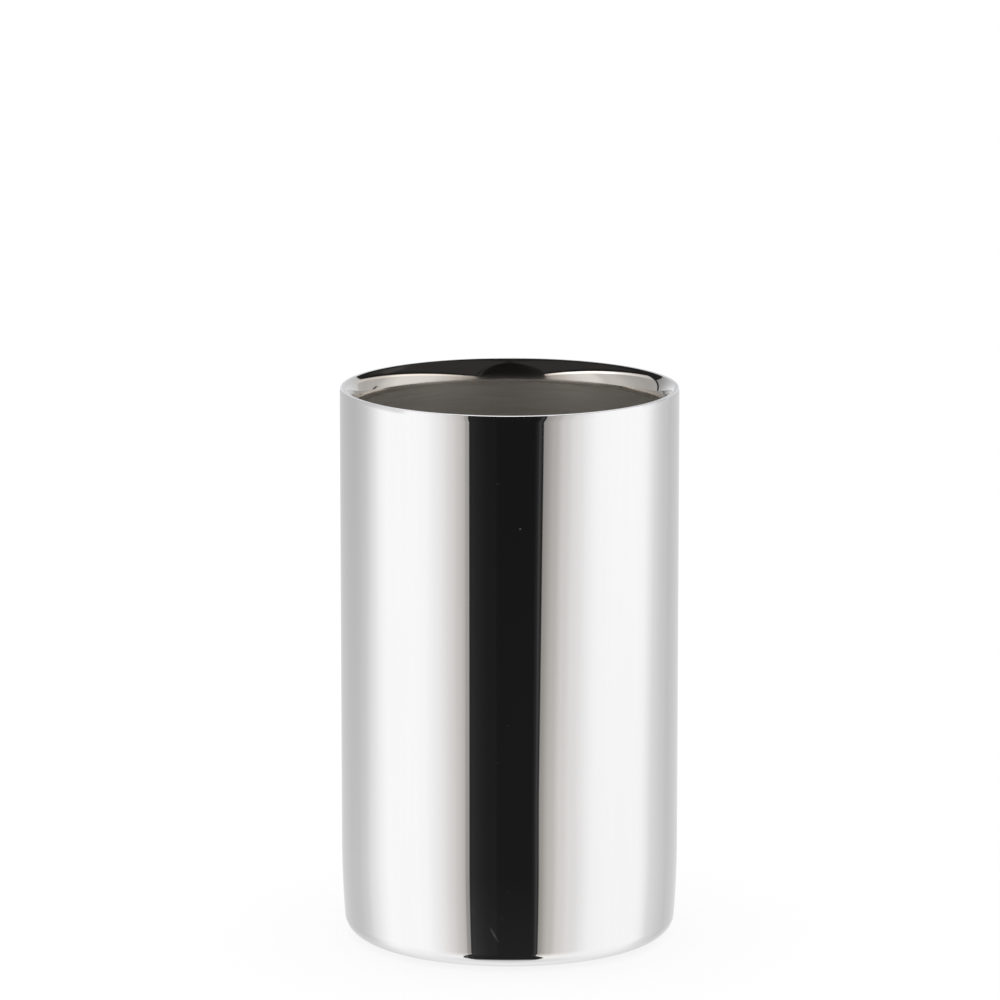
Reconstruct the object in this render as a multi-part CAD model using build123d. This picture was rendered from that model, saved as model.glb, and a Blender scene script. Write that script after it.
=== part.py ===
from build123d import *
from math import acos, cos, degrees, radians, sin
import os

# Vacuum-insulated bottle cooler, mirror-polished stainless steel.
# Millimetres, +Z up. The origin is the centre of the foot pad's underside, so z = 0 is the table.
# Every round piece is a profile in the X-Z half plane, revolved about Z.

# Driving dimensions
OUTER_RADIUS = 60.0
HEIGHT = 198.0
SHEET = 0.6  # thickness of the drawn steel

# Rim: the wall leans in a little, a crisp ground edge, a faintly domed land, then a lip that rolls into the well
ROLL_RADIUS = 9.0
ROLL_ANGLE = 13.0  # how far the wall leans in at the edge
EDGE_RADIUS = 0.15
LAND_RADIUS = 11.5
LAND_ANGLE = 6.0  # the land falls by this much towards the edge
CREST_RADIUS = 0.8  # between the land and the lip
LIP_RADIUS = 8.5
LIP_ANGLE = 63.0  # what the lip turns through on its way down
WELD_HEIGHT = 0.6  # the ground weld, from the wall's upper edge to the land

# Well that holds the bottle
WELL_FLOOR = 22.0
FLOOR_CORNER = 10.0

# Base: the shell turns in under itself and up into a flange that carries the vacuum base
SHELL_BOTTOM = 0.8
BASE_CORNER = 6.5
LEAD_RADIUS = 370.0  # the wall draws in slightly above the corner
LEAD_ANGLE = 4.3
FLANGE_RADIUS = 47.4  # the face of the flange that looks into the recess
FLANGE_BEND = 1.4
FLANGE_TOP = 7.0

# Vacuum base: an inverted cup inside the flange, with a stiffening bead and a sealed evacuation port
SKIRT_BOTTOM = 4.0
BASE_UNDERSIDE = 8.4
SKIRT_BEND = 1.5
BEAD_RADII = (36.0, 34.2, 27.8, 26.0)  # foot, crown, crown, foot of the pressed ring
BEAD_RISE = 1.8
BEAD_BEND = 1.4
DIMPLE_RADII = (8.5, 6.5)
DIMPLE_RISE = 1.5
DIMPLE_BEND = 0.9
PORT_RADIUS = 1.0
WELD_LEG = 0.6

# Port seal: a bead of solder glass that fills the port and pools in the dimple
SEAL_RADIUS = 4.5
SEAL_DEPTH = 0.9

# Getter: a pressed pellet that a stamped strap holds against the underside of the well's floor
PELLET_RADIUS = 4.0
PELLET_HEIGHT = 2.5
STRAP_SHEET = 0.3
STRAP_WIDTH = 7.0
STRAP_BED = 5.0  # half length of the part under the pellet
STRAP_TAB = 8.5  # where the raised tabs start
STRAP_END = 15.0
STRAP_BEND = 0.8

# Radiation shield: thin copper foil round the well and under its floor
FOIL = 0.1
FOIL_CLEARANCE = 0.2
SLEEVE_BOTTOM = 36.0
SLEEVE_TOP = 184.0
LAP_DEGREES = 12.0
SHIELD_HOLE = 19.0
SHIELD_RADIUS = 42.0

# Base cover and foot
COVER_UNDERSIDE = 2.4
COVER_TOP = 6.5
COVER_BEND = 1.2
ADHESIVE = 0.2
PAD_RADIUS = 44.0
PAD_EDGE = 0.6
GROOVE_RADII = (12.0, 20.0, 28.0, 36.0)
GROOVE_WIDTH = 1.6
GROOVE_DEPTH = 0.7

# Worked-out sizes of the base
SKIRT_RADIUS = FLANGE_RADIUS - SHEET
LINER_UNDERSIDE = WELL_FLOOR - SHEET
LEAD = radians(LEAD_ANGLE)
CORNER_START = OUTER_RADIUS - LEAD_RADIUS * (1 - cos(LEAD)) - BASE_CORNER * cos(LEAD)

# Worked-out sizes of the rim
ROLL = radians(ROLL_ANGLE)
LAND = radians(LAND_ANGLE)
EDGE_FOOT = HEIGHT - LAND_RADIUS * (1 - cos(LAND)) - EDGE_RADIUS * (cos(LAND) - sin(ROLL))
ROLL_START = EDGE_FOOT - ROLL_RADIUS * sin(ROLL)
WELD_FOOT = HEIGHT - WELD_HEIGHT
WELD_LEAN = (WELD_FOOT - ROLL_START) / ROLL_RADIUS  # sine of the wall's lean at the weld's foot
WELD_LEAN_COSINE = (1 - WELD_LEAN**2) ** 0.5
WALL_END = OUTER_RADIUS - ROLL_RADIUS * (1 - WELD_LEAN_COSINE)
WELD_INNER = WALL_END - SHEET * WELD_LEAN_COSINE
EDGE_INNER = OUTER_RADIUS - ROLL_RADIUS * (1 - cos(ROLL)) - EDGE_RADIUS * (cos(ROLL) - sin(LAND))
CREST_START = EDGE_INNER - LAND_RADIUS * sin(LAND)
LIP_START = radians(90 - LIP_ANGLE)
WELL_RADIUS = CREST_START - CREST_RADIUS * sin(LIP_START) - LIP_RADIUS * (1 - sin(LIP_START))


def turned_sheet(path, side, thickness=SHEET):
    """Sheet of even thickness on one side of a path in the half plane, revolved about Z."""
    section = make_face(Plane.XZ * offset(path, amount=thickness, side=side))
    return revolve(section, Axis.Z)


def turned(path):
    """Solid of revolution from a closed path in the half plane."""
    return revolve(make_face(Plane.XZ * path), Axis.Z)


def ring(inner, outer, bottom, top):
    """Plain ring or, with no inner radius, a disc."""
    body = Pos(0, 0, bottom) * Cylinder(outer, top - bottom, align=(Align.CENTER, Align.CENTER, Align.MIN))
    if inner:
        body -= Pos(0, 0, bottom) * Cylinder(inner, top - bottom, align=(Align.CENTER, Align.CENTER, Align.MIN))
    return body


def outer_shell():
    """Outer wall, rounded base corner, and the turned-in flange, in one drawn piece."""
    corners = [
        (FLANGE_RADIUS, FLANGE_TOP),
        (FLANGE_RADIUS, SHELL_BOTTOM),
        (CORNER_START, SHELL_BOTTOM),
    ]
    base = FilletPolyline(*corners, radius=FLANGE_BEND)
    corner = JernArc(base @ 1, (1, 0), BASE_CORNER, 90 - LEAD_ANGLE)
    lead = JernArc(corner @ 1, corner % 1, LEAD_RADIUS, LEAD_ANGLE)
    wall = Line(lead @ 1, (OUTER_RADIUS, ROLL_START))
    roll = JernArc(wall @ 1, (0, 1), ROLL_RADIUS, 90 - degrees(acos(WELD_LEAN)))
    return turned_sheet(base + corner + lead + wall + roll, Side.LEFT)


def weld_face():
    """The line, upright in the section, where the weld meets the liner's edge: its radius and upper end."""
    drop = (LAND_RADIUS**2 - (WELD_INNER - CREST_START) ** 2) ** 0.5
    return WELD_INNER, HEIGHT - LAND_RADIUS + drop


def inner_liner():
    """Domed rim land, rolled lip, straight well wall and well floor, in one drawn piece."""
    radius, top = weld_face()
    slope = (radius - CREST_START) / LAND_RADIUS
    facing = (slope, (1 - slope**2) ** 0.5)
    land = JernArc((radius, top), (-facing[1], facing[0]), LAND_RADIUS, 90 - degrees(acos(slope)))
    crest = JernArc(land @ 1, land % 1, CREST_RADIUS, 90 - LIP_ANGLE)
    lip = JernArc(crest @ 1, crest % 1, LIP_RADIUS, LIP_ANGLE)
    wall = Line(lip @ 1, (WELL_RADIUS, WELL_FLOOR + FLOOR_CORNER))
    corner = JernArc(wall @ 1, wall % 1, FLOOR_CORNER, -90)
    floor = Line(corner @ 1, (0, WELL_FLOOR))
    return turned_sheet(land + crest + lip + wall + corner + floor, Side.LEFT)


def rim_weld():
    """Weld bead that joins shell and liner, ground flush to the crisp outer edge of the rim."""
    radius, top = weld_face()
    lean = 90 - degrees(acos(WELD_LEAN))
    wall = JernArc((WALL_END, WELD_FOOT), (-WELD_LEAN, WELD_LEAN_COSINE), ROLL_RADIUS, ROLL_ANGLE - lean)
    edge = JernArc(wall @ 1, wall % 1, EDGE_RADIUS, 90 - ROLL_ANGLE - LAND_ANGLE)
    slope = degrees(acos((radius - CREST_START) / LAND_RADIUS))
    land = JernArc(edge @ 1, edge % 1, LAND_RADIUS, LAND_ANGLE - (90 - slope))
    inside = Line((radius, top), (radius, WELD_FOOT - SHEET * WELD_LEAN))
    return turned(wall + edge + land + inside + Line(inside @ 1, wall @ 0))


def vacuum_base():
    """Pressed closure of the vacuum space: skirt, stiffening bead, dimple and evacuation port."""
    bead_top = BASE_UNDERSIDE + BEAD_RISE
    dimple_top = BASE_UNDERSIDE + DIMPLE_RISE
    corners = [
        (SKIRT_RADIUS, SKIRT_BOTTOM),
        (SKIRT_RADIUS, BASE_UNDERSIDE),
        (BEAD_RADII[0], BASE_UNDERSIDE),
        (BEAD_RADII[1], bead_top),
        (BEAD_RADII[2], bead_top),
        (BEAD_RADII[3], BASE_UNDERSIDE),
        (DIMPLE_RADII[0], BASE_UNDERSIDE),
        (DIMPLE_RADII[1], dimple_top),
        (PORT_RADIUS, dimple_top),
    ]
    bends = [SKIRT_BEND] + 4 * [BEAD_BEND] + 2 * [DIMPLE_BEND]
    return turned_sheet(FilletPolyline(*corners, radius=bends), Side.RIGHT)


def base_weld():
    """Fillet weld between the skirt's lower edge and the shell's flange."""
    corners = [
        (FLANGE_RADIUS, SKIRT_BOTTOM),
        (FLANGE_RADIUS - WELD_LEG, SKIRT_BOTTOM),
        (FLANGE_RADIUS, SKIRT_BOTTOM - WELD_LEG),
    ]
    return turned(Polyline(*corners, close=True))


def port_seal():
    """Solder-glass plug in the evacuation port, with its pool in the dimple below it."""
    roof = BASE_UNDERSIDE + DIMPLE_RISE
    plug = ring(0, PORT_RADIUS, roof, roof + SHEET)
    meniscus = ThreePointArc((0, roof - SEAL_DEPTH), (SEAL_RADIUS / 2, roof - SEAL_DEPTH * 0.78), (SEAL_RADIUS, roof))
    pool = turned(meniscus + Polyline((SEAL_RADIUS, roof), (0, roof), (0, roof - SEAL_DEPTH)))
    return plug + pool


def getter_clip():
    """Stamped strap, spot-welded by its two tabs to the underside of the well's floor."""
    tab = LINER_UNDERSIDE - STRAP_SHEET
    bed = LINER_UNDERSIDE - PELLET_HEIGHT - STRAP_SHEET
    corners = [
        (-STRAP_END, tab),
        (-STRAP_TAB, tab),
        (-STRAP_BED, bed),
        (STRAP_BED, bed),
        (STRAP_TAB, tab),
        (STRAP_END, tab),
    ]
    path = FilletPolyline(*corners, radius=STRAP_BEND)
    section = make_face(Plane.XZ * offset(path, amount=STRAP_SHEET, side=Side.LEFT))
    return extrude(section, amount=STRAP_WIDTH / 2, both=True)


def getter_pellet():
    """Pressed getter pellet, which takes up what gas is left in the vacuum space."""
    return ring(0, PELLET_RADIUS, LINER_UNDERSIDE - PELLET_HEIGHT, LINER_UNDERSIDE)


def shield_sleeve():
    """Copper foil wrapped once round the well, with a short lap where its ends meet."""
    inner = WELL_RADIUS + SHEET + FOIL_CLEARANCE
    sleeve = ring(inner, inner + FOIL, SLEEVE_BOTTOM, SLEEVE_TOP)
    edge = Plane.XZ * Pos(inner + 1.5 * FOIL, (SLEEVE_BOTTOM + SLEEVE_TOP) / 2)
    lap = revolve(edge * Rectangle(FOIL, SLEEVE_TOP - SLEEVE_BOTTOM), Axis.Z, LAP_DEGREES)
    return sleeve + Rot(0, 0, 90) * lap


def shield_disc():
    """Copper foil disc under the well's floor, open in the middle for the getter clip."""
    top = LINER_UNDERSIDE - FOIL_CLEARANCE
    return ring(SHIELD_HOLE, SHIELD_RADIUS, top - FOIL, top)


def base_cover():
    """Shallow dished cover, pressed into the skirt of the vacuum base."""
    corners = [
        (SKIRT_RADIUS, COVER_TOP),
        (SKIRT_RADIUS, COVER_UNDERSIDE),
        (0, COVER_UNDERSIDE),
    ]
    return turned_sheet(FilletPolyline(*corners, radius=COVER_BEND), Side.RIGHT)


def pad_adhesive():
    """Film that holds the foot pad to the base cover."""
    return ring(0, PAD_RADIUS - 2 * PAD_EDGE, COVER_UNDERSIDE - ADHESIVE, COVER_UNDERSIDE)


def foot_pad():
    """Silicone pad that the cooler stands on, with round grooves in its underside."""
    pad = ring(0, PAD_RADIUS, 0, COVER_UNDERSIDE - ADHESIVE)
    pad = fillet(pad.edges().filter_by(GeomType.CIRCLE), PAD_EDGE)
    for radius in GROOVE_RADII:
        pad -= ring(radius - GROOVE_WIDTH / 2, radius + GROOVE_WIDTH / 2, 0, GROOVE_DEPTH)
    return pad


PIECES = [
    outer_shell,
    inner_liner,
    rim_weld,
    vacuum_base,
    base_weld,
    port_seal,
    getter_clip,
    getter_pellet,
    shield_sleeve,
    shield_disc,
    base_cover,
    pad_adhesive,
    foot_pad,
]

os.makedirs("parts", exist_ok=True)
for piece in PIECES:
    export_step(piece(), f"parts/{piece.__name__}.step")
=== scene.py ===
"""Studio picture of a polished steel bottle cooler.

Fine turned meshes take the place of the sheets that show, and every piece gets its finish.
"""

import math

import bpy
import numpy as np
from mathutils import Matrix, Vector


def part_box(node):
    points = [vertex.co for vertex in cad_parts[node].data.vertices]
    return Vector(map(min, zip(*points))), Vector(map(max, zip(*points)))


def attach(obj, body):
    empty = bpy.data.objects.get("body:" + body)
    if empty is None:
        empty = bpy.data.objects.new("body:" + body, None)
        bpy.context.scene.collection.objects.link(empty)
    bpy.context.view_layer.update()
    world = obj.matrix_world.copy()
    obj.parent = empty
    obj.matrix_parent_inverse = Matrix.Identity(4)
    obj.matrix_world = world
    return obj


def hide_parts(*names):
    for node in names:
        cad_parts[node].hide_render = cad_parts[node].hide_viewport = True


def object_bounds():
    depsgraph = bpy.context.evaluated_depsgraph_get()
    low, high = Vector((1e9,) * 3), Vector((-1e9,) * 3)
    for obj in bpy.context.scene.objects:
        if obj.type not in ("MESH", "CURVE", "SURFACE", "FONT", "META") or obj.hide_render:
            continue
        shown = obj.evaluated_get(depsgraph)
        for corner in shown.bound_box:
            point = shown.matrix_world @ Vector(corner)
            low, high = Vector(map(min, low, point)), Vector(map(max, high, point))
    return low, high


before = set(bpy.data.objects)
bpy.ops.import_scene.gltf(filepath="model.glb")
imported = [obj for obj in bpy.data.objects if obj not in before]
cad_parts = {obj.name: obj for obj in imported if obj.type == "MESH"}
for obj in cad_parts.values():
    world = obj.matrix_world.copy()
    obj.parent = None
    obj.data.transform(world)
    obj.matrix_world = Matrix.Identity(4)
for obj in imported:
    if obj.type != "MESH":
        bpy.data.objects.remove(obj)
cad_low, cad_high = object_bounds()
MM = 0.001

# Sizes read from the frame
OUTER = min(-cad_low.x, cad_high.x, -cad_low.y, cad_high.y)
TOP = cad_high.z
SHELL_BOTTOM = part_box("outer_shell")[0].z
WELL_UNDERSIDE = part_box("inner_liner")[0].z

# The section of the drawn sheet, as in the CAD model
SHEET = 0.6 * MM
ROLL_RADIUS = 9.0 * MM  # the outer wall leans in a little at the very top
ROLL_ANGLE = 13.0
EDGE_RADIUS = 0.15 * MM
LAND_RADIUS = 11.5 * MM
LAND_ANGLE = 6.0
CREST_RADIUS = 0.8 * MM
LIP_RADIUS = 8.5 * MM
LIP_ANGLE = 63.0
WELD_HEIGHT = 0.6 * MM
FLOOR_CORNER = 10.0 * MM
BASE_CORNER = 6.5 * MM
LEAD_RADIUS = 370.0 * MM
LEAD_ANGLE = 4.3
FLANGE_RADIUS = 47.4 * MM
FLANGE_BEND = 1.4 * MM
FLANGE_TOP = 7.0 * MM

SEGMENTS = 512  # steps round the axis
ON_AXIS = 1e-7  # nearer than this to the axis, a point counts as on it


class Outline:
    """A line in the half plane, built from straight and round stretches, with the way each surface faces.

    Travel keeps the material on the left, so the surface faces right.
    """

    def __init__(self, start):
        self.points = [np.array(start, float)]
        self.facings = []  # one pair of directions for each stretch between two points

    def line(self, end, steps=1):
        """A straight stretch to a point, in equal steps."""
        start = self.points[-1]
        along = np.array(end, float) - start
        facing = np.array((along[1], -along[0])) / np.linalg.norm(along)
        for i in range(1, steps + 1):
            self.points.append(start + along * i / steps)
            self.facings.append((facing, facing))
        return self

    def arc(self, radius, turn, heading, steps):
        """A round stretch that turns by `turn` degrees, positive to the left, from the heading in degrees."""
        side = math.copysign(1.0, turn)
        first = math.radians(heading)
        start = self.points[-1]
        centre = start + radius * side * np.array((-math.sin(first), math.cos(first)))
        facing = np.array((math.sin(first), -math.cos(first)))
        for i in range(1, steps + 1):
            angle = first + math.radians(turn) * i / steps
            following = np.array((math.sin(angle), -math.cos(angle)))
            self.points.append(centre + radius * side * following)
            self.facings.append((facing, following))
            facing = following
        return self


def sheet_section(outline, thickness):
    """Closed section of a sheet whose visible side is the outline."""
    points, facings = list(outline.points), list(outline.facings)
    inner = [outline.points[0] - thickness * facings[0][0]]
    inner += [p - thickness * f[1] for p, f in zip(outline.points[1:], facings)]
    back = [(-f[1], -f[0]) for f in facings]
    closed = Outline((0, 0))
    closed.points, closed.facings = points, facings
    closed.line(inner[-1])
    closed.points += inner[-2::-1]
    closed.facings += back[::-1]
    return closed.line(points[0])


def turned(name, outline, node):
    """Mesh of revolution about Z from a closed outline. Points on the axis become one vertex."""
    points = np.array(outline.points[:-1])
    count = len(points)
    angles = np.arange(SEGMENTS) * 2 * math.pi / SEGMENTS
    around = np.stack((np.cos(angles), np.sin(angles)), 1)
    vertices, rows = [], []
    for r, z in points:
        first = len(vertices)
        if r < ON_AXIS:
            vertices.append((0, 0, z))
            rows.append(np.full(SEGMENTS, first))
        else:
            vertices += [(r * c, r * s, z) for c, s in around]
            rows.append(first + np.arange(SEGMENTS))
    faces, normals = [], []
    for i in range(count):
        j = (i + 1) % count
        on_axis = [points[k][0] < ON_AXIS for k in (i, j)]
        if all(on_axis):
            continue
        for k in range(SEGMENTS):
            n = (k + 1) % SEGMENTS
            corners = [(rows[i][k], k, 0), (rows[i][n], n, 0), (rows[j][n], n, 1), (rows[j][k], k, 1)]
            if on_axis[0]:
                corners.pop(1)
            elif on_axis[1]:
                corners.pop(2)
            faces.append([c[0] for c in corners])
            for _, a, end in corners:
                r, z = outline.facings[i][end]
                normals.append((r * around[a][0], r * around[a][1], z))
    mesh = bpy.data.meshes.new(name)
    mesh.from_pydata(vertices, [], faces)
    mesh.shade_smooth()
    mesh.normals_split_custom_set(normals)
    piece = bpy.data.objects.new(name, mesh)
    bpy.context.scene.collection.objects.link(piece)
    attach(piece, "root")
    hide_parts(node)
    return piece


# --- shapes -------------------------------------------------------------------------------------------

# Where the stretches of the section meet, worked out from the sizes above
LEAD = math.radians(LEAD_ANGLE)
ROLL = math.radians(ROLL_ANGLE)
LAND = math.radians(LAND_ANGLE)
CORNER_START = OUTER - LEAD_RADIUS * (1 - math.cos(LEAD)) - BASE_CORNER * math.cos(LEAD)
EDGE_FOOT = TOP - LAND_RADIUS * (1 - math.cos(LAND)) - EDGE_RADIUS * (math.cos(LAND) - math.sin(ROLL))
ROLL_START = EDGE_FOOT - ROLL_RADIUS * math.sin(ROLL)
WELD_FOOT = TOP - WELD_HEIGHT
WELD_LEAN = math.asin((WELD_FOOT - ROLL_START) / ROLL_RADIUS)
WALL_END = OUTER - ROLL_RADIUS * (1 - math.cos(WELD_LEAN))
WELD_INNER = WALL_END - SHEET * math.cos(WELD_LEAN)
EDGE_INNER = OUTER - ROLL_RADIUS * (1 - math.cos(ROLL)) - EDGE_RADIUS * (math.cos(ROLL) - math.sin(LAND))
CREST_START = EDGE_INNER - LAND_RADIUS * math.sin(LAND)
LAND_SLOPE = math.asin((WELD_INNER - CREST_START) / LAND_RADIUS)  # where the weld meets the liner
WELD_TOP = TOP - LAND_RADIUS * (1 - math.cos(LAND_SLOPE))


def outer_shell():
    """Outer wall with its leaning top, the corner at its foot and the turned-in flange."""
    skin = Outline((FLANGE_RADIUS, FLANGE_TOP))
    skin.line((FLANGE_RADIUS, SHELL_BOTTOM + FLANGE_BEND), 4)
    skin.arc(FLANGE_BEND, 90, -90, 12)
    skin.line((CORNER_START, SHELL_BOTTOM), 2)
    skin.arc(BASE_CORNER, 90 - LEAD_ANGLE, 0, 64)
    skin.arc(LEAD_RADIUS, LEAD_ANGLE, 90 - LEAD_ANGLE, 24)
    skin.line((OUTER, ROLL_START), 24)
    skin.arc(ROLL_RADIUS, math.degrees(WELD_LEAN), 90, 24)
    return turned("outer_wall", sheet_section(skin, SHEET), "outer_shell")


def rim_edge():
    """The weld at the rim's outer edge, ground flush."""
    lean = math.degrees(WELD_LEAN)
    slope = math.degrees(LAND_SLOPE)
    skin = Outline((WALL_END, WELD_FOOT))
    skin.arc(ROLL_RADIUS, ROLL_ANGLE - lean, 90 + lean, 8)
    skin.arc(EDGE_RADIUS, 90 - ROLL_ANGLE - LAND_ANGLE, 90 + ROLL_ANGLE, 12)
    skin.arc(LAND_RADIUS, LAND_ANGLE - slope, 180 - LAND_ANGLE, 3)
    skin.line((WELD_INNER, WELD_FOOT - SHEET * math.sin(WELD_LEAN)))
    skin.line((WALL_END, WELD_FOOT))
    return turned("rim_edge", skin, "rim_weld")


def inner_liner():
    """Inner part of the land, rolled lip, well wall and well floor."""
    well_floor = WELL_UNDERSIDE + SHEET
    skin = Outline((WELD_INNER, WELD_TOP))
    skin.arc(LAND_RADIUS, math.degrees(LAND_SLOPE), 180 - math.degrees(LAND_SLOPE), 4)
    skin.arc(CREST_RADIUS, 90 - LIP_ANGLE, 180, 12)
    skin.arc(LIP_RADIUS, LIP_ANGLE, 270 - LIP_ANGLE, 72)
    well_radius = skin.points[-1][0]
    skin.line((well_radius, well_floor + FLOOR_CORNER), 24)
    skin.arc(FLOOR_CORNER, -90, 270, 24)
    skin.line((0, well_floor), 6)
    return turned("well_liner", sheet_section(skin, SHEET), "inner_liner")


# --- node trees ---------------------------------------------------------------------------------------


class Value:
    """A number that varies over a surface or over the studio, with the usual sums."""

    def __init__(self, nodes, socket):
        self.nodes = nodes
        self.socket = socket

    def math(self, operation, *others):
        return self.nodes.math(operation, self, *others)

    def __add__(self, other):
        return self.math("ADD", other)

    def __sub__(self, other):
        return self.math("SUBTRACT", other)

    def __mul__(self, other):
        return self.math("MULTIPLY", other)

    def __neg__(self):
        return self.math("MULTIPLY", -1.0)

    def over(self, limit):
        """1 above the limit and 0 below it."""
        return self.math("GREATER_THAN", limit)

    def inverse(self):
        return self.nodes.math("SUBTRACT", 1.0, self)

    def step(self, start, end, low=0.0, high=1.0):
        """Eases from low at start to high at end."""
        return self.nodes.between(self, start, end, low, high, "SMOOTHSTEP")

    def past(self, limit, blur):
        """0 below the limit and 1 above it, easing over the blur on either side."""
        return self.step(limit - blur, limit + blur)

    def short_of(self, limit, blur):
        """1 below the limit and 0 above it, easing over the blur on either side."""
        return self.step(limit + blur, limit - blur)

    def rise(self, start, end, low=0.0, high=1.0):
        """Goes straight from low at start to high at end."""
        return self.nodes.between(self, start, end, low, high, "LINEAR")

    def spread(self, low=0.0, high=1.0):
        """Noise, most of which lies between 0.3 and 0.7, spread out from low to high."""
        return self.rise(0.3, 0.7, low, high)


class Nodes:
    """Short way to build a node tree."""

    def __init__(self, tree):
        self.tree = tree
        tree.nodes.clear()

    def add(self, kind, inputs=(), **settings):
        """New node. Each input is a number, a colour, another node's output or a Value."""
        node = self.tree.nodes.new(kind)
        for name, value in settings.items():
            setattr(node, name, value)
        for key, value in dict(inputs).items():
            if isinstance(value, Value):
                value = value.socket
            if isinstance(value, bpy.types.NodeSocket):
                self.tree.links.new(value, node.inputs[key])
            else:
                node.inputs[key].default_value = value
        return node

    def value(self, kind, inputs=(), **settings):
        """First output of a new node."""
        return Value(self, self.add(kind, inputs, **settings).outputs[0])

    def math(self, operation, *values):
        return self.value("ShaderNodeMath", dict(enumerate(values)), operation=operation)

    def between(self, value, start, end, low, high, how):
        """Carries a value from the range start to end over to low to high, and holds it beyond the ends."""
        if start > end:
            start, end, low, high = end, start, high, low
        inputs = {0: value, 1: float(start), 2: float(end), 3: float(low), 4: float(high)}
        return self.value("ShaderNodeMapRange", inputs, interpolation_type=how)

    def mix(self, share, first, second):
        """Number between two numbers."""
        return self.value("ShaderNodeMix", {0: share, 2: first, 3: second})

    def blend(self, share, first, second):
        """Colour between two colours, each an RGB tuple or an output."""
        pair = [(*c, 1) if isinstance(c, tuple) else c for c in (first, second)]
        node = self.add("ShaderNodeMix", {0: share, 6: pair[0], 7: pair[1]}, data_type="RGBA")
        return node.outputs[2]

    def profile(self, value, stops):
        """Smooth line through stops of (value, result)."""
        first, last = stops[0][0], stops[-1][0]
        peak = max(level for _, level in stops)  # a ramp holds no more than 1
        node = self.add("ShaderNodeValToRGB", {0: value.rise(first, last)})
        ramp = node.color_ramp
        ramp.interpolation = "CARDINAL"
        ramp.elements.remove(ramp.elements[1])
        for i, (position, level) in enumerate(stops):
            place = (position - first) / (last - first)
            element = ramp.elements[0] if i == 0 else ramp.elements.new(place)
            element.position = place
            element.color = (level / peak, level / peak, level / peak, 1)
        return Value(self, node.outputs[0]) * peak

    def stretch(self, place, scale):
        """The place with each axis scaled, for a texture that runs along one of them."""
        return self.add("ShaderNodeVectorMath", {0: place, 1: scale}, operation="MULTIPLY").outputs[0]

    def noise(self, place, scale, detail=3.0, roughness=0.5):
        inputs = {"Vector": place, "Scale": scale, "Detail": detail, "Roughness": roughness}
        return self.value("ShaderNodeTexNoise", inputs)

    def specks(self, place, scale, size, share):
        """1 in a few small round spots, one in each of a share of the cells, and 0 elsewhere."""
        cells = self.add("ShaderNodeTexVoronoi", {"Vector": place, "Scale": scale})
        near = Value(self, cells.outputs["Distance"]).step(size, size * 0.4)
        picked = self.value("ShaderNodeSeparateColor", {0: cells.outputs["Color"]}).over(1.0 - share)
        return near * picked

    def bump(self, height, distance):
        return self.add("ShaderNodeBump", {"Distance": distance, "Height": height}).outputs[0]

    def round_place(self, place):
        """Cylindrical place: arc length at the outer wall's radius, radius and height."""
        x, y, z = self.add("ShaderNodeSeparateXYZ", {0: place}).outputs
        turn = self.math("ARCTAN2", Value(self, y), Value(self, x)) * OUTER
        radius = (Value(self, x) * Value(self, x) + Value(self, y) * Value(self, y)).math("SQRT")
        return turn, radius, Value(self, z)

    def rings(self, radius, height, fineness):
        """Fine lines that run round the axis, as turning and polishing leave them."""
        line = self.add("ShaderNodeCombineXYZ", {0: radius, 1: height}).outputs[0]
        return self.noise(line, fineness, detail=4.0, roughness=0.6)


# --- materials ----------------------------------------------------------------------------------------

SCUFFS_TOP = 26.0 * MM  # height above the table where the scuffs start, and where they are full
SCUFFS_FULL = 8.0 * MM
SATIN_START = 4.5 * MM  # depth below the rim where the liner starts to turn satin, and where it is
SATIN_FULL = 9.5 * MM
RIPPLE_PITCH = 0.9 * MM


def new_material(name):
    """Empty material, its node tree, and the place on the object, in metres."""
    material = bpy.data.materials.new(name)
    material.use_nodes = True
    n = Nodes(material.node_tree)
    place = n.add("ShaderNodeTexCoord").outputs["Object"]
    return material, n, place


def surface(n, **inputs):
    """Principled surface; the names stand for the shader's own, with spaces for underscores."""
    settings = {name.replace("_", " "): value for name, value in inputs.items()}
    shader = n.add("ShaderNodeBsdfPrincipled", settings)
    n.add("ShaderNodeOutputMaterial", {"Surface": shader.outputs[0]})


def polished_steel():
    """Mirror finish: faint upright polishing streaks, a little dust, and light scuffs towards the foot."""
    material, n, place = new_material("polished_steel_finish")
    turn, radius, height = n.round_place(place)
    upright = n.stretch(place, (1.0, 1.0, 0.04))
    streaks = n.noise(upright, 420.0, detail=2.0)
    haze = n.noise(place, 35.0)
    slanted = n.add("ShaderNodeCombineXYZ", {0: turn + height * 0.6, 1: height * 0.16, 2: radius}).outputs[0]
    strokes = n.noise(slanted, 700.0, detail=0.0)
    scuffs = strokes.step(0.75, 0.82) * height.step(SCUFFS_TOP, SCUFFS_FULL)
    dust = n.specks(place, 260.0, 0.07, 0.12)
    marks = (scuffs * 0.2 + dust * 0.5).math("MINIMUM", 1.0)
    colour = n.blend(streaks.spread(), (0.795, 0.795, 0.795), (0.805, 0.805, 0.805))
    rough = haze.spread(0.022, 0.036) + marks * 0.3
    surface(n, Base_Color=colour, Metallic=marks.rise(0.0, 1.0, 1.0, 0.7), Roughness=rough)
    return material


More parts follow.
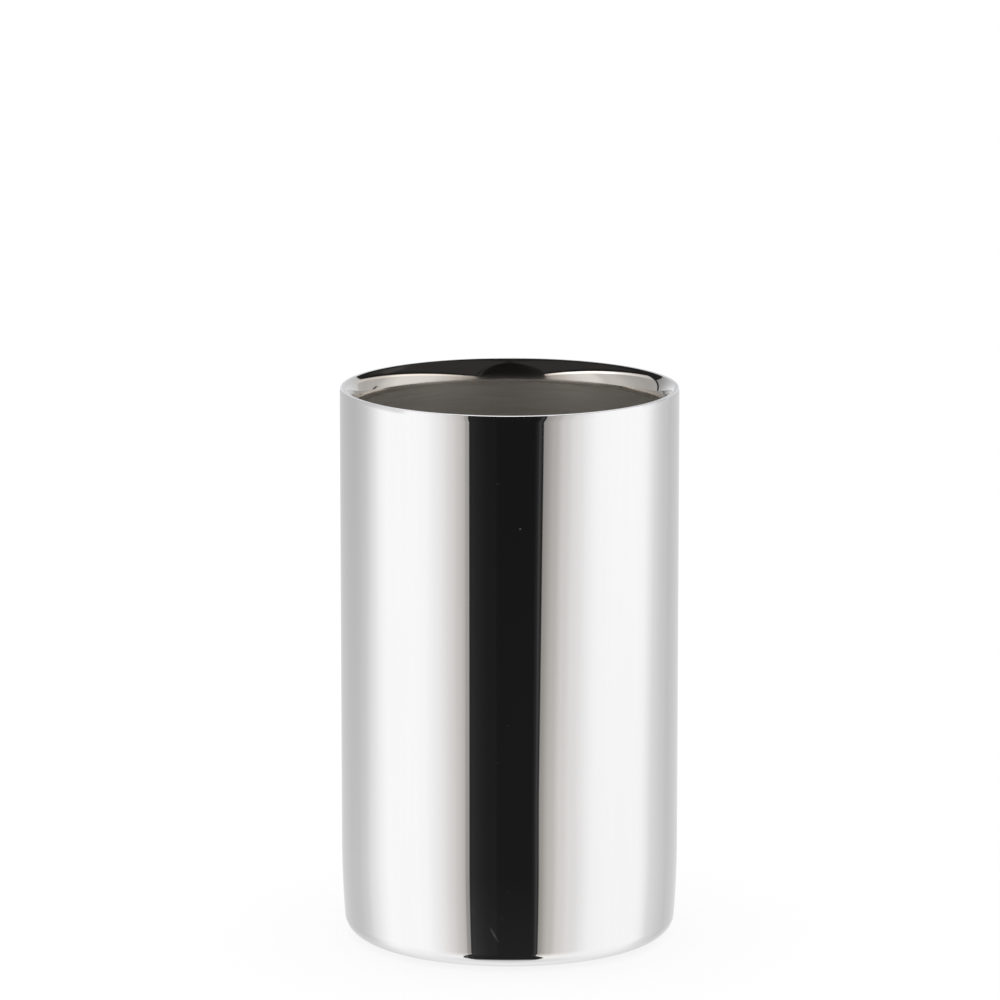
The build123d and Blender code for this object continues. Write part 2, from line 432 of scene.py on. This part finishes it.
def liner_steel():
    """Polished lip that turns satin down in the well, with brushing lines round the wall."""
    material, n, place = new_material("liner_steel_finish")
    _, radius, height = n.round_place(place)
    lines = n.rings(radius, height, 2600.0)
    drift = n.noise(n.stretch(place, (0.08, 0.08, 1.0)), 900.0, detail=2.0)
    brushing = lines * 0.5 + drift * 0.5
    deep = height.step(TOP - SATIN_START, TOP - SATIN_FULL)
    tone = (brushing - 0.5) * deep.rise(0, 1, 0.3, 2.2) + 0.5
    colour = n.blend(tone, (0.52, 0.487, 0.445), (0.65, 0.617, 0.575))
    rough = n.mix(deep, 0.055, 0.34) + (brushing - 0.5) * n.mix(deep, 0.02, 0.25)
    normal = n.bump(brushing * deep, 0.008 * MM)
    surface(n, Base_Color=colour, Metallic=deep.rise(0.0, 1.0, 1.0, 0.86), Roughness=rough, Normal=normal)
    return material


def mill_steel():
    """Cold-rolled sheet as pressed: grey, soft rolling grain, faint draw lines."""
    material, n, place = new_material("mill_steel_finish")
    grain = n.noise(n.stretch(place, (1.0, 0.06, 1.0)), 1500.0)
    cloud = n.noise(place, 60.0)
    colour = n.blend(cloud.spread(), (0.50, 0.50, 0.49), (0.60, 0.60, 0.59))
    rough = grain.spread(0.28, 0.42)
    surface(n, Base_Color=colour, Metallic=1.0, Roughness=rough, Normal=n.bump(grain, 0.006 * MM))
    return material


def satin_steel():
    """Turned satin: closely spaced rings, with a few light handling marks."""
    material, n, place = new_material("satin_steel_finish")
    _, radius, height = n.round_place(place)
    lines = n.rings(radius, height, 2200.0)
    marks = n.noise(n.stretch(place, (0.2, 1.0, 1.0)), 240.0, detail=0.0).step(0.70, 0.74)
    colour = n.blend(lines.spread(), (0.58, 0.58, 0.57), (0.66, 0.66, 0.65))
    rough = lines.spread(0.26, 0.38) + marks * 0.1
    surface(n, Base_Color=colour, Metallic=1.0, Roughness=rough, Normal=n.bump(lines, 0.008 * MM))
    return material


def weld_steel():
    """Weld bead as laid: ripples along it, straw and blue heat tint in patches."""
    material, n, place = new_material("weld_steel_finish")
    turn, _, _ = n.round_place(place)
    ripple = (turn * (2 * math.pi / RIPPLE_PITCH)).math("SINE")
    tint = n.noise(place, 120.0)
    colour = n.blend(tint.rise(0.35, 0.65), (0.50, 0.43, 0.34), (0.42, 0.43, 0.47))
    rough = tint.spread(0.3, 0.45)
    surface(n, Base_Color=colour, Metallic=1.0, Roughness=rough, Normal=n.bump(ripple, 0.03 * MM))
    return material


def solder_glass():
    """Dark glassy bead with cloudy streaks and a few bubbles."""
    material, n, place = new_material("solder_glass_finish")
    cloud = n.noise(place, 500.0)
    bubbles = n.specks(place, 1800.0, 0.2, 0.15)
    colour = n.blend(cloud.spread(), (0.10, 0.13, 0.11), (0.19, 0.23, 0.19))
    rough = cloud.spread(0.08, 0.2)
    surface(n, Base_Color=colour, Roughness=rough, IOR=1.6, Normal=n.bump(bubbles.inverse(), 0.03 * MM))
    return material


def getter():
    """Pressed metal powder: dark, dry and grainy."""
    material, n, place = new_material("getter_finish")
    grain = n.noise(place, 4000.0, roughness=0.7)
    colour = n.blend(grain.rise(0.35, 0.65), (0.17, 0.16, 0.155), (0.29, 0.28, 0.27))
    rough = grain.spread(0.6, 0.8)
    surface(n, Base_Color=colour, Metallic=0.6, Roughness=rough, Normal=n.bump(grain, 0.03 * MM))
    return material


def copper_foil():
    """Bright thin foil with soft creases and a little tarnish."""
    material, n, place = new_material("copper_foil_finish")
    crease = n.noise(place, 90.0, detail=4.0)
    tarnish = n.noise(place, 30.0)
    colour = n.blend(tarnish.rise(0.4, 0.7), (0.84, 0.50, 0.36), (0.68, 0.38, 0.26))
    rough = tarnish.spread(0.16, 0.34)
    surface(n, Base_Color=colour, Metallic=1.0, Roughness=rough, Normal=n.bump(crease, 0.15 * MM))
    return material


def adhesive():
    """Milky pressure-sensitive film."""
    material, n, place = new_material("adhesive_finish")
    cloud = n.noise(place, 220.0)
    colour = n.blend(cloud.spread(), (0.69, 0.68, 0.62), (0.75, 0.74, 0.69))
    surface(n, Base_Color=colour, Roughness=cloud.spread(0.4, 0.55))
    return material


def silicone():
    """Matt black moulded rubber: fine texture, and a bloom of pale dust picked up from the table."""
    material, n, place = new_material("silicone_finish")
    texture = n.noise(place, 2600.0, roughness=0.65)
    bloom = n.noise(place, 70.0)
    specks = n.specks(place, 420.0, 0.09, 0.2)
    base = n.blend(bloom.rise(0.35, 0.7), (0.030, 0.030, 0.031), (0.055, 0.055, 0.055))
    colour = n.blend(specks * 0.5, base, (0.35, 0.34, 0.32))
    rough = texture.spread(0.62, 0.78)
    surface(n, Base_Color=colour, Roughness=rough, Normal=n.bump(texture, 0.02 * MM))
    return material


def dress(piece, material):
    """Gives a piece its only material."""
    piece.data.materials.clear()
    piece.data.materials.append(material)


def dress_nodes(material, *names):
    """Gives CAD nodes their finish."""
    for name in names:
        dress(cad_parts[name], material)


# --- studio -------------------------------------------------------------------------------------------

# Directions in the studio are seen from the object, in degrees: azimuth 0 points towards the camera and grows
# to the right, elevation 0 is level. Light levels are relative to white. Two soft boxes stand left and right,
# with a dark gap between them in front, and each level is given by the angle from the box's edge at the gap.
MIDDLE = -2.5  # azimuth in the gap that parts left from right
LEFT_EDGE = 27.3
RIGHT_EDGE = 19.9
LEFT_LEVELS = [
    (0, 0.41), (2.4, 0.42), (3, 0.53), (5, 0.61), (10, 0.74), (17, 0.91), (28, 1.10), (39, 1.17),
    (64, 1.17), (74, 1.02), (85, 0.77), (95, 0.64), (106, 0.595), (121, 0.62), (137, 0.68), (160, 0.82),
]
RIGHT_LEVELS = [
    (0, 0.33), (3, 0.38), (6, 0.47), (10, 0.55), (13, 0.68), (17, 0.745), (20, 0.84), (28, 0.96), (36, 1.1),
    (48, 1.16), (74, 1.17), (84, 1.10), (92, 0.91), (98, 0.81), (104, 0.73), (110, 0.69), (120, 0.65),
    (165, 0.83),
]
# The gap's levels run inwards from the left box's edge, and those of the thin streak from the right one's
GAP_LEVELS = [
    (0, 0.015), (1.3, 0.024), (4, 0.021), (8, 0.0165), (13, 0.013), (18, 0.0125), (19, 0.010), (50, 0.010),
]
STREAK_LEVELS = [(0, 0.018), (0.9, 0.02), (2.3, 0.055), (3.3, 0.030), (5, 0.015), (7, 0.010)]
LEFT_BOX = (-90.0, 1.12)  # azimuth that the box faces us from, and slope of its top edge there
RIGHT_BOX = (95.0, 0.825)
BOX_BLUR = 0.35

# Elevation that the upright outer wall shows the camera at its top. At its foot it shows -15.4.
WALL_TOP = -10.3

# A short slanted dark bar before the right box, and a paler patch of the ceiling. Each has the azimuth and
# elevation of its middle, then the distances from there where it ends and where it is full, across and along.
BAR = ((124.6, 8.8), (2.4, 0.8), (5.5, 2.0))
BAR_LEAN = 43.0
CEILING_PATCH = ((138.0, 44.0), (16.0, 4.0), (8.0, 3.0))

# Behind the object, a pale backdrop shows beyond the boxes' far edges. Its levels are given by azimuth.
LEFT_FAR_EDGE = -146.5
RIGHT_FAR_EDGE = 154.5
BACKDROP_LEVELS = [
    (-180, 0.82), (-170, 0.78), (-163, 0.67), (-153, 0.52), (-146, 0.50), (150, 0.83), (167, 0.82),
    (180, 0.75),
]
BACKDROP_TOP = 23.0
BACKDROP_BLUR = 0.4
STRAIGHT_LEVEL = 1.5
SLIT_WIDTH = 3.0
SLIT_BLUR = 0.3
SLIT_LEVEL = 0.015

COOL = (0.94, 0.996, 1.076)
WARM = (1.06, 1.0, 0.94)


def soft_patch(azimuth, elevation, patch, lean=0.0):
    """1 in the middle of a patch and 0 around it. It leans to the left by an angle in degrees."""
    (middle_azimuth, middle_elevation), width, height = patch
    cosine, sine = math.cos(math.radians(lean)), math.sin(math.radians(lean))
    x, y = azimuth - middle_azimuth, elevation - middle_elevation
    across = (x * cosine + y * sine).math("ABSOLUTE")
    along = (y * cosine - x * sine).math("ABSOLUTE")
    return across.step(*width) * along.step(*height)


def gap_edges(elevation):
    """Azimuth of both boxes' edges at the gap, each counted outwards.

    The gap widens a little upwards, and again far below, where the boxes end above the table.
    """
    left = elevation.rise(-10, 16, LEFT_EDGE, LEFT_EDGE + 1) + elevation.rise(-29, -55, 0, 17)
    right = elevation.rise(-13.8, WALL_TOP, RIGHT_EDGE, RIGHT_EDGE + 3.3)
    right = right + elevation.rise(WALL_TOP, 16, 0, 2.8) + elevation.step(-35, -59, 0, 13)
    return left, right


def box_top(azimuth, box):
    """Elevation of a box's top edge: a straight level edge seen in perspective."""
    centre, slope = box
    off = (azimuth - centre).math("RADIANS").math("COSINE")
    return (off * slope).math("ARCTANGENT").math("DEGREES")


def box_light(n, azimuth, elevation, is_right, from_left, from_right, hem):
    """Level of the boxes, from the angles past their edges at the gap and the share of hem."""
    level = n.mix(is_right, n.profile(from_left, LEFT_LEVELS), n.profile(from_right, RIGHT_LEVELS))

    # lower down, a narrow strip at the left box's edge is dimmer
    shoulder = from_left.step(3.2, 2.2) * is_right.inverse() * elevation.rise(-12.5, -15)
    level = level * shoulder.rise(0, 1, 1, 0.82)

    # there the right box's edge is brighter, and so are the far parts of both, which are dimmer higher up
    lower = elevation.rise(WALL_TOP, -14.6)
    far = azimuth.step(-98, -112) + azimuth.step(112, 124) * 0.65
    near = from_right.step(0, 5) * from_right.rise(6, 24, 0.18, -0.03) * is_right
    level = level * (far * lower.rise(0, 1, -0.04, 0.09) + near * lower + 1.0)

    # higher up, the middle of both is dimmer, but not the bright hem along their tops
    dim_left = azimuth.step(-70, -82) * azimuth.step(-125, -98) * 0.25
    dim_right = azimuth.step(97, 106) * azimuth.step(134, 122) * 0.1
    dim = (dim_left + dim_right) * elevation.step(-6, 3)
    glow = n.mix(is_right, azimuth.step(-150, -122, 1.35, 2.1), 1.38)
    level = level * n.mix(hem, dim.inverse(), glow)

    bar = soft_patch(azimuth, elevation, BAR, BAR_LEAN)
    return level * bar.rise(0, 1, 1, 0.05)


def backdrop_light(n, azimuth, elevation, is_right, straight):
    """Level of the backdrop: bright straight behind, and with a dark slit beside the left box."""
    fade = n.mix(is_right, elevation.rise(2, 22, 1.25, 0.81), elevation.rise(2, 22, 1.10, 0.98))
    level = n.profile(azimuth, BACKDROP_LEVELS) * fade
    level = n.mix(elevation.short_of(BACKDROP_TOP, BACKDROP_BLUR), 0.025, level)
    level = n.mix(straight, level, STRAIGHT_LEVEL)
    slit = azimuth.short_of(LEFT_FAR_EDGE, SLIT_BLUR) * azimuth.past(LEFT_FAR_EDGE - SLIT_WIDTH, SLIT_BLUR)
    return n.mix(slit * elevation.step(2, 6) * elevation.step(47, 44), level, SLIT_LEVEL)


def gap_light(n, elevation, from_left, from_right):
    """Level of the gap, with a thin bright streak near its right edge."""
    level = n.profile(-from_left, GAP_LEVELS) * elevation.rise(WALL_TOP, -24, 1, 1.9)
    streak = n.profile(elevation.step(-11, -14) * 0.7 - from_right, STREAK_LEVELS)
    return n.math("MAXIMUM", level, streak)


def mirrored_light(n, azimuth, elevation):
    """Level and warmth of what the steel mirrors in each direction."""
    is_right = azimuth.over(MIDDLE)
    sideways = azimuth.math("ABSOLUTE")
    left_edge, right_edge = gap_edges(elevation)
    from_left = -azimuth - left_edge
    from_right = azimuth - right_edge

    # the boxes, and a dark ceiling above them
    above = elevation - n.mix(is_right, box_top(azimuth, LEFT_BOX), box_top(azimuth, RIGHT_BOX))
    hem = (above + n.mix(is_right, 1.6, 0.0)).step(-7, -4.5) * above.step(-0.4, -1.2)
    box = box_light(n, azimuth, elevation, is_right, from_left, from_right, hem)
    ceiling = above.step(0.5, 10, 0.012, 0.047) + soft_patch(azimuth, elevation, CEILING_PATCH) * 0.04
    in_box = above.short_of(0, BOX_BLUR)
    light = n.mix(in_box, ceiling, box)

    # the backdrop, which reaches higher straight behind
    beyond_left = azimuth.short_of(LEFT_FAR_EDGE, BACKDROP_BLUR)
    beyond_right = azimuth.past(RIGHT_FAR_EDGE, BACKDROP_BLUR)
    behind = n.math("MAXIMUM", beyond_left, beyond_right) * elevation.step(-4, 2)
    straight = sideways.step(175.5, 178) * elevation.step(15, 17.5) * elevation.step(60, 50)
    light = n.mix(behind, light, backdrop_light(n, azimuth, elevation, is_right, straight))

    # below, the pale table evens the light out
    table_away = sideways.rise(100, 150, 1.07, 0.90)
    table_close = sideways.rise(0, 150, 0.80, 1.0)
    table = n.mix(elevation.step(-50, -76), table_away, table_close)
    light = n.mix(elevation.step(-22, -52), light, table)

    # the gap, which ends over the table
    in_gap = n.mix(is_right, from_left, from_right).short_of(0, BOX_BLUR)
    light = n.mix(in_gap, light, gap_light(n, elevation, from_left, from_right))
    under = table * elevation.step(-60, -76)
    light = n.mix(elevation.step(-60, -62), light, n.math("MAXIMUM", light, under))

    # the boxes are a little warmer beside the gap and along the right one's hem, and the backdrop is cooler
    warmth = n.math("MAXIMUM", sideways.rise(20, 55, 1, 0), hem * is_right * 0.7) * in_gap.inverse() * in_box
    return light, n.mix(behind, warmth, straight.rise(0, 1, -0.5, 0))


def studio():
    """Soft even light on the object, and the boxes and all that is around them for the steel to mirror."""
    world = bpy.data.worlds.new("studio")
    bpy.context.scene.world = world
    world.use_nodes = True
    n = Nodes(world.node_tree)
    way = n.add("ShaderNodeTexCoord").outputs["Generated"]
    x, y, z = [Value(n, socket) for socket in n.add("ShaderNodeSeparateXYZ", {0: way}).outputs]
    azimuth = n.math("ARCTAN2", x, -y).math("DEGREES")
    elevation = z.math("ARCSINE").math("DEGREES")
    light, warmth = mirrored_light(n, azimuth, elevation)
    mirror = n.add("ShaderNodeBackground", {0: n.blend(warmth.rise(-1, 1), COOL, WARM), 1: light})
    soft = n.add("ShaderNodeBackground", {0: (1, 1, 1, 1), 1: 1.0})
    glossy = n.add("ShaderNodeLightPath").outputs["Is Glossy Ray"]
    mixed = n.add("ShaderNodeMixShader", {0: glossy, 1: soft.outputs[0], 2: mirror.outputs[0]})
    n.add("ShaderNodeOutputWorld", {0: mixed.outputs[0]})


# --- floor and camera ---------------------------------------------------------------------------------

FLOOR_RADIUS = 12.0
FLOOR_DROP = 0.02 * MM  # below the foot pad, so the two don't share a plane
FLOOR_GLOW = 1.05
GLOW_SHARE = 0.75  # share of the floor's look that takes no shadow
LENS = 224.42  # millimetres, for a picture 36 wide
EYE = (0, -2.167165, 0.580877)
EYE_TILT = 11.065  # degrees down
EYE_TURN = 0.08967  # degrees to the left


def floor():
    """Plain white floor with a faint contact shadow, which shows from above only.

    The steel has its table from the studio, so doesn't mirror it.
    """
    middle = (0, 0, -FLOOR_DROP)
    bpy.ops.mesh.primitive_circle_add(vertices=96, radius=FLOOR_RADIUS, fill_type="NGON", location=middle)
    disc = bpy.context.object
    disc.name = "floor"
    material, n, place = new_material("floor_paint")
    tone = n.noise(place, 3.0).spread(0.93, 0.95)
    colour = n.add("ShaderNodeCombineColor", {0: tone, 1: tone, 2: tone}).outputs[0]
    diffuse = n.add("ShaderNodeBsdfDiffuse", {0: colour})
    glow = n.add("ShaderNodeEmission", {0: (1, 1, 1, 1), 1: FLOOR_GLOW})
    mixed = n.add("ShaderNodeMixShader", {0: GLOW_SHARE, 1: diffuse.outputs[0], 2: glow.outputs[0]})
    from_below = n.add("ShaderNodeNewGeometry").outputs["Backfacing"]
    clear = n.add("ShaderNodeBsdfTransparent")
    one_sided = n.add("ShaderNodeMixShader", {0: from_below, 1: mixed.outputs[0], 2: clear.outputs[0]})
    n.add("ShaderNodeOutputMaterial", {0: one_sided.outputs[0]})
    disc.data.materials.append(material)
    disc.visible_glossy = False


def camera():
    """Long lens, looking down at the object a little."""
    data = bpy.data.cameras.new("camera")
    data.sensor_width = 36.0
    data.lens = LENS
    data.clip_start, data.clip_end = 0.1, 100.0
    eye = bpy.data.objects.new("camera", data)
    bpy.context.scene.collection.objects.link(eye)
    eye.location = EYE
    eye.rotation_euler = (math.radians(90 - EYE_TILT), 0, math.radians(EYE_TURN))
    bpy.context.scene.camera = eye


steel = polished_steel()
dress(outer_shell(), steel)
dress(rim_edge(), steel)
dress(inner_liner(), liner_steel())
dress_nodes(mill_steel(), "vacuum_base", "getter_clip")
dress_nodes(weld_steel(), "base_weld")
dress_nodes(solder_glass(), "port_seal")
dress_nodes(getter(), "getter_pellet")
dress_nodes(copper_foil(), "shield_sleeve", "shield_disc")
dress_nodes(satin_steel(), "base_cover")
dress_nodes(adhesive(), "pad_adhesive")
dress_nodes(silicone(), "foot_pad")
studio()
floor()
camera()
bpy.context.scene.view_settings.view_transform = "Standard"
